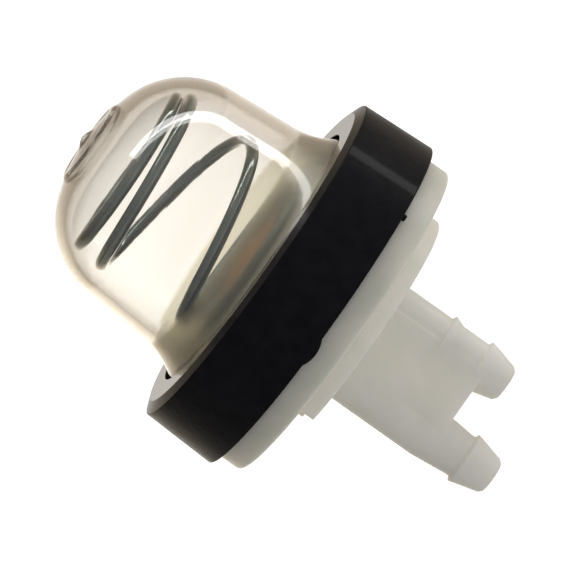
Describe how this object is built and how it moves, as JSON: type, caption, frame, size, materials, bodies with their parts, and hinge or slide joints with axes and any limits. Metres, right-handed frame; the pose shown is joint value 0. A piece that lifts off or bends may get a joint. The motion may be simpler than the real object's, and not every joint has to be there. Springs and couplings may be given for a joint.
{
  "type": "primer bulb",
  "caption": "Push-button fuel primer for a small engine: clear domed bulb with a return spring, black retaining ring and a white base with two barbed hose nipples.",
  "frame": {"origin": "on the bulb's axis, in the plane of the longer nipple's end", "axes": "+Z along the bulb's axis towards the crown; +X towards the shorter nipple; +Y completes the frame, with the web's flat face looking along -Y and +Y"},
  "size_m": [0.0316, 0.0316, 0.044],
  "materials": {
    "bulb": "clear flexible plastic, glossy, faintly warm",
    "spring": "drawn spring wire, dull grey",
    "ring": "black moulded plastic, fine satin",
    "base": "natural milky translucent plastic, satin",
    "plate": "natural milky plastic, satin",
    "valve": "amber fuel-resistant rubber"
  },
  "bodies": {
    "root": {"bulb": "bulb", "return_spring": "spring", "retaining_ring": "ring", "base_body": "base", "valve_plate": "plate", "check_valve": "valve"}
  },
  "joints": []
}
